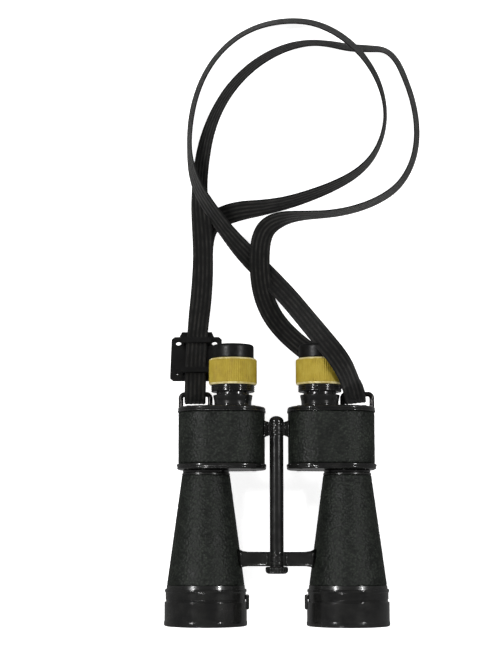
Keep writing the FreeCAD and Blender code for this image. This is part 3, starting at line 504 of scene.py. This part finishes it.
def softCorners(profile, reach, steps=3):
    # a closed outline with each corner eased by a short curve
    eased = []
    for i, corner in enumerate(profile):
        before, after = Vector(profile[i - 1]), Vector(profile[(i + 1) % len(profile)])
        corner = Vector(corner)
        cut = min(reach, 0.4 * (before - corner).length, 0.4 * (after - corner).length)
        start = corner + (before - corner).normalized() * cut
        end = corner + (after - corner).normalized() * cut
        for k in range(steps + 1):
            t = k / steps
            eased.append(tuple((1 - t) ** 2 * start + 2 * t * (1 - t) * corner + t * t * end))
    return eased


def turnPiece(name, axis, profile, segments=128, ease=0.35, relief=None):
    # (radius, y) outline turned about a line along Y through axis (x, z)
    outline = softCorners(profile, ease)
    points = []
    for i in range(segments):
        angle = 2 * math.pi * i / segments
        for r, y in outline:
            r = relief(r, y, angle) if relief else r
            x, z = axis[0] + r * math.cos(angle), axis[1] + r * math.sin(angle)
            points.append((x * mm, y * mm, z * mm))
    faces = [(a, d, c, b) for a, b, c, d in skinFaces(segments, len(outline), True)]
    piece = addMesh(name, points, faces)
    piece.modifiers.new("evenNormals", "WEIGHTED_NORMAL")
    return piece


def loftPiece(name, loops, closed=False):
    points = [point for loop in loops for point in loop]
    return addMesh(name, points, skinFaces(len(loops), len(loops[0]), closed))


def finish(piece, body, slot, finishName=None):
    # the piece moves with its body
    piece.data.materials.append(finishes[finishName or slot])
    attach(piece, body)


def fit(piece, body, node, slot, finishName=None):
    # the piece also stands for a CAD node
    finish(piece, body, slot, finishName)
    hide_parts(node)


def middle(node):
    low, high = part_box(node)
    return ((low.x + high.x) / 2 / mm, (low.z + high.z) / 2 / mm)


def ends(node):
    low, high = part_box(node)
    return low.y / mm, high.y / mm


def halfWidth(node):
    low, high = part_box(node)
    return (high.x - low.x) / 2 / mm


def endRadius(node, axis, y):
    # outer radius of a turned CAD node at one of its ends
    points = np.array([v.co for v in cadNodes[node].data.vertices]) / mm
    near = points[np.abs(points[:, 1] - y) < 0.2]
    return float(np.hypot(near[:, 0] - axis[0], near[:, 2] - axis[1]).max())


shield = {
    "radius": 33.5,
    "bandRadius": 33.15,      # between the groove and the front rim
    "backRadius": 32.9,
    "waistRadius": 32.3,      # between the bead and the groove
    "grooveRadius": 31.9,
    "boreRadius": 31.2,
    "seatRadius": 30.56,
    "bead": 2.2,              # these two are measured from the back edge
    "groove": (8.2, 10.2),
    "grooveSlope": 0.2,
    "rim": (4.0, 3.4),        # where it starts and where it is full, from the front edge
    "rimChamfer": 0.9,
    "chamfer": 0.5,
    "innerRings": 14,
    "ringStart": 1.2,
    "ringPitch": 1.0,
    "ringHeight": 0.28,
    "segments": 160,
    "ease": 0.3,
}


def makeShield(side):
    node = side + "_objective_shield"
    front, back = ends(node)
    radius, band, bore = shield["radius"], shield["bandRadius"], shield["boreRadius"]
    rear, waist, low = shield["backRadius"], shield["waistRadius"], shield["grooveRadius"]
    bead, (start, end) = back - shield["bead"], shield["groove"]
    slope, chamfer, rimChamfer = shield["grooveSlope"], shield["chamfer"], shield["rimChamfer"]
    rimStart, rimFull = shield["rim"]
    profile = [
        (shield["seatRadius"], back), (rear - chamfer, back), (rear, back - chamfer), (rear, bead),
        (waist, bead - chamfer), (waist, back - start),
        (low, back - start - slope), (low, back - end + slope),
        (band, back - end), (band, front + rimStart), (radius, front + rimFull),
        (radius, front + rimChamfer), (radius - rimChamfer, front),
        (bore + chamfer, front), (bore, front + chamfer),
    ]
    y = front + shield["ringStart"]
    for _ in range(shield["innerRings"]):
        profile += [(bore, y), (bore - shield["ringHeight"], y + 0.5 * shield["ringPitch"])]
        y += shield["ringPitch"]
    profile.append((shield["seatRadius"], y))
    axis = middle(side + "_objective_cell")
    hood = turnPiece(side + "ObjectiveShield", axis, profile, shield["segments"], shield["ease"])
    fit(hood, side + "_half", node, "black_lacquer")


lug = {
    "setback": 4.4,           # from the shield's back edge
    "length": 12.0,
    "height": 1.5,
    "halfWidth": 3.4,
    "sunk": 1.2,
    "shoulder": (0.3, 1.0),   # lower than the crown, and in from the side
    "ends": (0.7, 0.75),      # length of each tapered end, and how much narrower it is
    "bevel": 0.4,
}


def makeLug(side, sign):
    axis = middle(side + "_objective_cell")
    back = ends(side + "_objective_shield")[1] - lug["setback"]
    x0 = axis[0] - sign * (shield["radius"] - lug["sunk"])
    crown, half = lug["height"] + lug["sunk"], lug["halfWidth"]
    lower, inwards = lug["shoulder"]
    outline = [(0, -half), (crown - lower, inwards - half), (crown, 0),
               (crown - lower, half - inwards), (0, half)]
    taper, narrow = lug["ends"]
    stations = [(0, narrow), (taper, 1.0), (lug["length"] - taper, 1.0), (lug["length"], narrow)]
    loops = [[((x0 - sign * out * size) * mm, (back - along) * mm, (axis[1] + up * size) * mm)
              for out, up in outline] for along, size in stations]
    piece = loftPiece(side + "ShieldLug", loops)
    piece.modifiers.new("soften", "BEVEL").width = lug["bevel"] * mm
    piece.modifiers.new("evenNormals", "WEIGHTED_NORMAL")
    finish(piece, side + "_half", "black_lacquer")


focusRing = {
    "flutes": 66,
    "pointsPerFlute": 4,
    "fluteDepth": 0.62,
    "fluteRows": 4,
    "fluteStart": 0.05,       # past the band
    "fluteSink": 0.02,
    "reachForFlutes": 0.7,    # only points this near the outside are fluted
    "band": 1.5,
    "bandEdge": (0.2, 0.15),  # lower than the ring, and short of the flutes
    "bandTop": (0.25, 0.9),
    "bandChamfer": 1.3,
    "hubGap": 0.06,
    "mouth": (13.7, 2.0),     # radius and depth
    "ease": 0.2,
}


def makeFocusRing(side):
    node = side + "_focus_ring"
    axis, (front, back), r = middle(node), ends(node), halfWidth(node)
    inner = halfWidth(side + "_focus_hub") + focusRing["hubGap"]
    band, count = focusRing["band"], focusRing["flutes"]
    edgeDrop, edgeGap = focusRing["bandEdge"]
    topDrop, topAlong = focusRing["bandTop"]
    chamfer, (mouth, depth) = focusRing["bandChamfer"], focusRing["mouth"]

    def flute(radius, y, angle):
        if radius < r - focusRing["reachForFlutes"] or y < front + band or y > back - band:
            return radius
        return radius - focusRing["fluteDepth"] * (0.5 - 0.5 * math.cos(count * angle)) ** 0.7

    start, end = front + band + focusRing["fluteStart"], back - band - focusRing["fluteStart"]
    profile = [(inner, front), (r - chamfer, front), (r - topDrop, front + topAlong),
               (r - edgeDrop, front + band - edgeGap)]
    profile += [(r - focusRing["fluteSink"], y) for y in np.linspace(start, end, focusRing["fluteRows"])]
    profile += [(r - edgeDrop, back - band + edgeGap), (r - topDrop, back - topAlong), (r - chamfer, back),
                (mouth, back), (mouth, back - depth), (inner, back - depth)]
    piece = turnPiece(
        side + "FocusRing", axis, profile, count * focusRing["pointsPerFlute"], focusRing["ease"], flute)
    fit(piece, side + "_focus", node, "focus_brass")
    # second slot: the pale cream painted highlight on the outer faces of the end bands
    piece.data.materials.append(paintedHighlightEdge)
    for face in piece.data.polygons:
        centre = sum((piece.data.vertices[v].co for v in face.vertices), Vector()) / len(face.vertices) / mm
        reach = math.hypot(centre.x - axis[0], centre.z - axis[1])
        onHighlightBand = centre.y < front + band - 0.1 or centre.y > back - band + 0.1
        face.material_index = 1 if onHighlightBand and reach > r - chamfer - 0.3 else 0


focusHub = {
    "bore": 13.25,
    "recess": (14.7, 5.3),    # radius and length
    "chamfer": 0.5,
    "grooves": (1.7, 3.3, 4.9),
    "grooveDepth": 0.55,
    "grooveHalf": (0.45, 0.2),  # half width at the top and at the bottom
    "segments": 128,
    "ease": 0.15,
}


def makeFocusHub(side):
    node = side + "_focus_hub"
    (front, back), r = ends(node), halfWidth(node)
    bore, chamfer, low = focusHub["bore"], focusHub["chamfer"], r - focusHub["grooveDepth"]
    (recess, length), (top, bottom) = focusHub["recess"], focusHub["grooveHalf"]
    profile = [(bore, front), (r - chamfer, front), (r, front + chamfer)]
    for groove in focusHub["grooves"]:
        y = front + groove
        profile += [(r, y - top), (low, y - bottom), (low, y + bottom), (r, y + top)]
    profile += [(r, back), (recess, back), (recess, back - length), (bore, back - length)]
    piece = turnPiece(
        side + "FocusHub", middle(side + "_focus_ring"), profile, focusHub["segments"], focusHub["ease"])
    fit(piece, side + "_focus", node, "satin_black", "black_lacquer")


neck = {
    "tubeGap": 0.05,          # the hub slides on the tube
    "tubeWall": 1.7,
    # the neck outside the top cover: how far out from the tube, and how far from the cover
    "outline": [(2.6, 0.0), (2.6, 0.9), (1.8, 1.4), (1.9, 4.2), (2.6, 7.2), (2.8, 9.2), (0.0, 9.2)],
    "segments": 112,
    "ease": 0.5,
}


def makeNeck(side):
    node = side + "_eyepiece_base"
    front, back = ends(node)
    cover = ends(side + "_top_cover")[1]
    tube = focusHub["bore"] - neck["tubeGap"]
    bore = tube - neck["tubeWall"]
    profile = [(bore, front), (tube, front), (tube, cover)]
    profile += [(tube + out, cover + along) for out, along in neck["outline"]]
    profile += [(tube, back), (bore, back)]
    piece = turnPiece(
        side + "EyepieceNeck", middle(side + "_focus_ring"), profile, neck["segments"], neck["ease"])
    fit(piece, side + "_half", node, "satin_black", "black_lacquer")


eyecup = {
    "socket": (12.66, 2.5),   # radius and depth
    "chamfer": 0.5,
    # rolled lip: in from the outside, and down from the back
    "lip": [(0.0, 1.9), (0.5, 0.6), (1.5, 0.0), (2.4, 0.15)],
    # dish round the eye lens: radius, and down from the back
    "dish": [(13.2, 1.6), (11.4, 4.2), (10.3, 6.4)],
    "opening": 10.2,
    "segments": 128,
    "ease": 0.5,
}


def makeEyecup(side):
    node = side + "_eyecup"
    (front, back), r = ends(node), halfWidth(node)
    (socket, depth), chamfer = eyecup["socket"], eyecup["chamfer"]
    profile = [(socket, front), (r - chamfer, front), (r, front + chamfer)]
    profile += [(r - inwards, back - down) for inwards, down in eyecup["lip"]]
    profile += [(radius, back - down) for radius, down in eyecup["dish"]]
    profile += [(eyecup["opening"], front + depth), (socket, front + depth)]
    axis = middle(side + "_focus_ring")
    piece = turnPiece(side + "Eyecup", axis, profile, eyecup["segments"], eyecup["ease"])
    fit(piece, side + "_lens_carrier", node, "eyecup_plastic")


collar = {
    "wall": 1.7,
    "chamfers": (0.6, 0.5),
    "segments": 112,
    "ease": 0.3,
}


def makeCollar(side):
    node = side + "_barrel_collar"
    (front, back), r = ends(node), halfWidth(node)
    inner, (wide, slim) = r - collar["wall"], collar["chamfers"]
    profile = [(inner, front), (r - wide, front), (r, front + slim), (r, back - wide), (r - slim, back),
               (inner, back)]
    piece = turnPiece(side + "BarrelCollar", middle(node), profile, collar["segments"], collar["ease"])
    fit(piece, side + "_half", node, "black_lacquer")


hinge = {
    "bore": 2.56,
    "rod": 5.6,
    "dome": 5.9,
    "domeSkirt": 0.7,
    "domeRecess": 2.1,
    "segments": 72,
}

lockDisc = {
    "radius": 9.1,
    "bore": 2.6,
    "boreDepth": 2.4,
    "scallops": 22,
    "scallopDepth": 0.5,
    "scallopReach": 1.2,
    "pointsPerScallop": 6,
    "coinSlot": 1.1,
    "coinSlotDepth": 0.9,
    "backChamfer": (0.9, 0.7),
    # rounded front: in from the outside, and back from the front
    "front": [(0.0, 2.0), (0.8, 0.7), (2.2, 0.0)],
    "washer": 0.4,
}

knuckle = {
    "radius": 5.85,
    "wall": 0.9,
    "chamfer": (0.35, 0.1, 0.7),   # in from the outside, and its two lengths
    "tongueShare": 0.36,
    "gap": 0.5,
    "segments": 64,
}

arm = {
    # sections from the knuckle outwards: x, half height along Y, half thickness along Z
    "lower": [(6.4, 4.9, 2.8), (7.0, 5.5, 4.6), (8.6, 5.75, 5.3), (11.0, 5.7, 4.7), (14.0, 5.6, 4.0),
              (22.0, 5.6, 4.0), (27.0, 6.4, 4.6), (31.5, 8.4, 6.2)],
    "upper": [(6.4, 5.0, 2.8), (7.0, 5.9, 4.6), (8.4, 6.2, 5.2), (9.4, 6.9, 5.8), (10.4, 8.0, 6.6)],
    "groove": (0.9, 0.55, 11.5),   # depth, half width, how far out it runs
    "squareness": (0.5, 0.55),
    "points": 48,
}


def makeArm(name, sign, body, midY, axisZ, stations, joins):
    # a cast web with eased edges, with grooves that carry on the gaps between the knuckles
    deep, wide, reach = arm["groove"]
    squareY, squareZ = arm["squareness"]
    loops = []
    for x, halfY, halfZ in stations:
        loop = []
        for i in range(arm["points"]):
            angle = 2 * math.pi * i / arm["points"]
            c, s = math.cos(angle), math.sin(angle)
            y = halfY * math.copysign(abs(c) ** squareY, c)
            z = halfZ * math.copysign(abs(s) ** squareZ, s)
            if x < reach and abs(s) > 0.2:
                cut = sum(math.exp(-((y + midY - join) / wide) ** 2) for join in joins)
                z -= math.copysign(deep * min(1.0, cut), z)
            loop.append((sign * x * mm, (midY + y) * mm, (axisZ + z) * mm))
        loops.append(loop if sign > 0 else loop[::-1])
    piece = loftPiece(name, loops)
    piece.modifiers.new("evenNormals", "WEIGHTED_NORMAL")
    finish(piece, body, "black_casting", "black_lacquer")


def makeRod():
    node = "hinge_sleeve"
    (front, back), bore, r = ends(node), hinge["bore"], hinge["rod"]
    profile = [(bore, front), (r, front), (r, back), (bore, back)]
    piece = turnPiece("hingeRod", middle(node), profile, hinge["segments"], 0.25)
    fit(piece, "left_half", node, "black_lacquer")


def makeDome():
    node = "hinge_dome_cap"
    (low, high), bore, r = ends(node), hinge["bore"], hinge["dome"]
    skirt, recess = low + hinge["domeSkirt"], low + hinge["domeRecess"]
    arc = [(max(0.01, r * math.cos(math.radians(a))), skirt + (high - skirt) * math.sin(math.radians(a)))
           for a in range(0, 91, 10)]
    profile = [(bore, low), (r, low)] + arc + [(0.01, recess), (bore, recess)]
    piece = turnPiece("hingeDome", middle("hinge_sleeve"), profile, hinge["segments"], 0.2)
    fit(piece, "left_half", node, "black_lacquer")


def makeLockDisc():
    node = "hinge_lock_disc"
    (front, back), r, bore = ends(node), lockDisc["radius"], lockDisc["bore"]
    slot, floor, count = lockDisc["coinSlot"], front + lockDisc["coinSlotDepth"], lockDisc["scallops"]
    chamfer, chamferAlong = lockDisc["backChamfer"]

    def scallop(radius, y, angle):
        if radius <= r - lockDisc["scallopReach"]:
            return radius
        return radius - lockDisc["scallopDepth"] * (0.5 - 0.5 * math.cos(count * angle))

    profile = [(bore, back), (r - chamfer, back), (r, back - chamferAlong)]
    profile += [(r - inwards, front + along) for inwards, along in lockDisc["front"]]
    profile += [(2 * slot, front), (slot, floor), (0.01, floor), (0.01, front + lockDisc["boreDepth"]),
                (bore, front + lockDisc["boreDepth"])]
    segments = count * lockDisc["pointsPerScallop"]
    piece = turnPiece("hingeLockDisc", middle("hinge_sleeve"), profile, segments, 0.4, scallop)
    fit(piece, "left_half", node, "black_lacquer")


def makeKnuckles():
    # over the ends of the arms: the left half's knuckles lie at both sides of the right half's
    axis = middle("hinge_sleeve")
    rodFront, rodBack = ends("hinge_sleeve")
    spans = {"upper": (rodBack, ends("hinge_dome_cap")[0]),
             "lower": (ends("hinge_lock_disc")[1] + lockDisc["washer"], rodFront)}
    gap, r, inner = knuckle["gap"], knuckle["radius"], knuckle["radius"] - knuckle["wall"]
    inwards, edge, along = knuckle["chamfer"]
    for name, (low, high) in spans.items():
        mid, half = (low + high) / 2, (high - low) * knuckle["tongueShare"] / 2
        rows = {"Front": (low, mid - half - gap / 2, "left_half"),
                "Middle": (mid - half, mid + half, "right_half"),
                "Back": (mid + half + gap / 2, high, "left_half")}
        for row, (y0, y1, body) in rows.items():
            profile = [(inner, y0), (r - inwards, y0 + edge), (r, y0 + along), (r, y1 - along),
                       (r - inwards, y1 - edge), (inner, y1)]
            piece = turnPiece(name + "Knuckle" + row, axis, profile, knuckle["segments"], 0.4)
            finish(piece, body, "black_casting", "black_lacquer")
        joins = (mid - half - gap / 4, mid + half + gap / 4)
        for side, sign in sides.items():
            makeArm(side + name.capitalize() + "Arm", sign, side + "_half", mid, axis[1], arm[name], joins)


# covers and leatherette

def boxInPlan(node):
    low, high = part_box(node)
    return low.x / mm, low.z / mm, high.x / mm, high.z / mm


def roundedOutline(box, corner, inset, perCorner, perSide):
    # points round a rounded rectangle in x and z
    x0, z0, x1, z1 = box[0] + inset, box[1] + inset, box[2] - inset, box[3] - inset
    c = max(0.5, corner - inset)
    centres = [(x1 - c, z1 - c, 0), (x0 + c, z1 - c, 90), (x0 + c, z0 + c, 180), (x1 - c, z0 + c, 270)]
    arcs = []
    for cx, cz, start in centres:
        angles = [math.radians(start + 90 * i / perCorner) for i in range(perCorner + 1)]
        arcs.append([(cx + c * math.cos(a), cz + c * math.sin(a)) for a in angles])
    points = []
    for arc, following in zip(arcs, arcs[1:] + arcs[:1]):
        (ax, az), (bx, bz) = arc[-1], following[0]
        points += arc
        points += [(ax + (bx - ax) * k / perSide, az + (bz - az) * k / perSide) for k in range(1, perSide)]
    return points


covers = {
    "corner": 26.0,
    "perCorner": 18,
    "perSide": 4,
    # inset from the edge, and distance from the leatherette
    "top": [(0.5, 0.0), (0.0, 0.5), (0.0, 1.2), (0.7, 1.6), (0.7, 1.9), (0.25, 2.3), (0.35, 3.2),
            (1.0, 4.0), (2.2, 4.38), (3.0, 4.4)],
    "bottom": [(0.5, 0.0), (0.0, 0.5), (0.0, 1.9), (0.5, 2.3), (0.5, 2.7), (0.1, 3.1), (0.5, 3.9),
               (1.6, 4.38), (2.6, 4.4)],
}


def makeCover(side, which):
    node = side + "_" + which + "_cover"
    (front, back), box = ends(node), boxInPlan(node)
    start, way = (front, 1) if which == "top" else (back, -1)
    corner = covers["corner"] + halfWidth(node) - halfWidth(side + "_housing_covering")
    loops = []
    for inset, along in covers[which]:
        y = start + way * along
        outline = roundedOutline(box, corner, inset, covers["perCorner"], covers["perSide"])
        loops.append([(x * mm, y * mm, z * mm) for x, z in outline])
    if way < 0:
        loops.reverse()
    piece = loftPiece(side + which.capitalize() + "Cover", loops)
    piece.modifiers.new("evenNormals", "WEIGHTED_NORMAL")
    fit(piece, side + "_half", node, "black_lacquer")


grain = {
    "cell": 2.1,
    "height": 0.16,
    "warp": (0.35, 0.9),      # how far and how finely the cells are bent
    "crease": 2.2,
    "uneven": (0.75, 0.5, 0.45),
    "step": 0.95,
    "perSide": 16,
    "thickness": 0.7,
    "edge": 1.0,
    "tuck": 0.35,             # how far the edges turn down
}


def pebble(x, y, z):
    # height of the pressed grain: domed cells with creases between them
    (bend, fine), (level, swing, broad) = grain["warp"], grain["uneven"]
    spot = Vector((x, y, z)) / grain["cell"]
    spot += bend * mathNoise.noise_vector(spot * fine)
    near = mathNoise.voronoi(spot)[0]
    crease = min(1.0, (near[1] - near[0]) * grain["crease"])
    return grain["height"] * (crease * (level + swing * mathNoise.noise(spot * broad)) - 1.0)


def skinLoops(outlineAt, y0, y1):
    # rows of a grained skin: outer side with its edges turned down, then the flat inner side
    rows = max(2, round((y1 - y0) / grain["step"]))
    loops = []
    for i in range(rows + 1):
        y = y0 + (y1 - y0) * i / rows
        fromEdge = min(y - y0, y1 - y)
        tuck = grain["tuck"] * max(0.0, 1 - fromEdge / grain["edge"]) ** 2
        loop = []
        for (x, z), (nx, nz) in outlineAt(y):
            h = pebble(x, y, z) - tuck
            loop.append(((x + nx * h) * mm, y * mm, (z + nz * h) * mm))
        loops.append(loop)
    for y in (y1, y0):
        loops.append([((x - nx * grain["thickness"]) * mm, y * mm, (z - nz * grain["thickness"]) * mm)
                      for (x, z), (nx, nz) in outlineAt(y)])
    return loops


def makeBarrelSkin(side):
    node = side + "_barrel_covering"
    axis, (y0, y1) = middle(side + "_objective_cell"), ends(node)
    r0, r1 = endRadius(node, axis, y0), endRadius(node, axis, y1)
    count = round(2 * math.pi * r0 / grain["step"])
    angles = [2 * math.pi * i / count for i in range(count)]
    ways = [(math.cos(a), math.sin(a)) for a in angles]

    def outlineAt(y):
        r = r0 + (r1 - r0) * (y - y0) / (y1 - y0)
        return [((axis[0] + r * c, axis[1] + r * s), (c, s)) for c, s in ways]

    piece = loftPiece(side + "BarrelLeatherette", skinLoops(outlineAt, y0, y1), True)
    fit(piece, side + "_half", node, "leatherette")


def makeHousingSkin(side):
    node = side + "_housing_covering"
    (y0, y1), box, corner = ends(node), boxInPlan(node), covers["corner"]
    perCorner = round(math.pi / 2 * corner / grain["step"])
    outline = roundedOutline(box, corner, 0, perCorner, grain["perSide"])
    inner = roundedOutline(box, corner, 1, perCorner, grain["perSide"])
    ways = [(x - u, z - w) for (x, z), (u, w) in zip(outline, inner)]

    def outlineAt(y):
        return list(zip(outline, ways))

    piece = loftPiece(side + "HousingLeatherette", skinLoops(outlineAt, y0, y1), True)
    fit(piece, side + "_half", node, "leatherette")


paintedHighlightEdge = ringEdgeHighlightMaterial()
for side, sign in sides.items():
    makeShield(side)
    makeLug(side, sign)
    makeFocusRing(side)
    makeFocusHub(side)
    makeNeck(side)
    makeEyecup(side)
    makeCollar(side)
    makeCover(side, "top")
    makeCover(side, "bottom")
    makeBarrelSkin(side)
    makeHousingSkin(side)
    print("half made:", side)
makeRod()
makeDome()
makeLockDisc()
makeKnuckles()
print("hinge made")


# floor and light

room = {
    "floorHalf": 12.0,
    "floorShade": 0.9,
    "floorGlow": 0.8,
    "sky": 0.13,
    "lights": [
        # name, place, aim, size across and along, watts
        ("leftBank", (-1.25, 0.15, 0.62), (0, 0.1, 0.0), (1.1, 0.7), 8),
        ("rightBank", (1.25, 0.15, 0.62), (0, 0.1, 0.0), (1.1, 0.7), 7),
        ("frontBank", (0.0, -1.15, 0.70), (0, 0.1, 0.0), (1.2, 0.6), 8),
        ("backBank", (0.0, 1.35, 0.70), (0, 0.1, 0.0), (1.2, 0.6), 7),
        ("leftLamp", (-0.85, 0.28, 1.10), (0, 0.0, 0.05), (0.09, 0.13), 6.0),
        ("rightLamp", (0.90, 0.26, 1.05), (0, 0.0, 0.05), (0.09, 0.13), 4.5),
        ("frontLamp", (-0.30, -1.05, 0.75), (0, 0.0, 0.03), (0.20, 0.08), 4.5),
    ],
}


def makeRoom():
    half = room["floorHalf"]
    floor = addMesh("tableTop", [(-half, -half, 0), (half, -half, 0), (half, half, 0), (-half, half, 0)],
                    [(0, 1, 2, 3)])
    floor.location.z = -0.0002
    material, tree, shader = newMaterial(
        "paleTable", Roughness=0.8, Specular_IOR_Level=0.1, Emission_Strength=room["floorGlow"])
    shader.inputs["Emission Color"].default_value = (1.0, 1.0, 1.0, 1)
    shade = room["floorShade"]
    tone = addRamp(tree, noise(tree, place(tree), 8, 3), [(0.3, (shade,) * 3), (0.8, (shade * 1.02,) * 3)])
    tree.links.new(tone, shader.inputs["Base Color"])
    floor.data.materials.append(material)
    floor.visible_glossy = False  # a pale table and wide banks would wash out the black lacquer
    world = bpy.data.worlds.new("studio")
    world.use_nodes = True
    sky = world.node_tree.nodes["Background"]
    sky.inputs["Color"].default_value = (1.0, 1.0, 1.0, 1)
    sky.inputs["Strength"].default_value = room["sky"]
    bpy.context.scene.world = world
    bpy.context.scene.view_settings.view_transform = "Standard"
    for name, at, aim, size, watts in room["lights"]:
        data = bpy.data.lights.new(name, "AREA")
        data.shape = "RECTANGLE"
        data.size, data.size_y = size
        data.energy = watts
        lamp = bpy.data.objects.new(name, data)
        bpy.context.scene.collection.objects.link(lamp)
        lamp.location = at
        lamp.visible_glossy = not name.endswith("Bank")
        lamp.rotation_euler = (Vector(at) - Vector(aim)).to_track_quat("Z", "Y").to_euler()


makeRoom()
print("room ready")
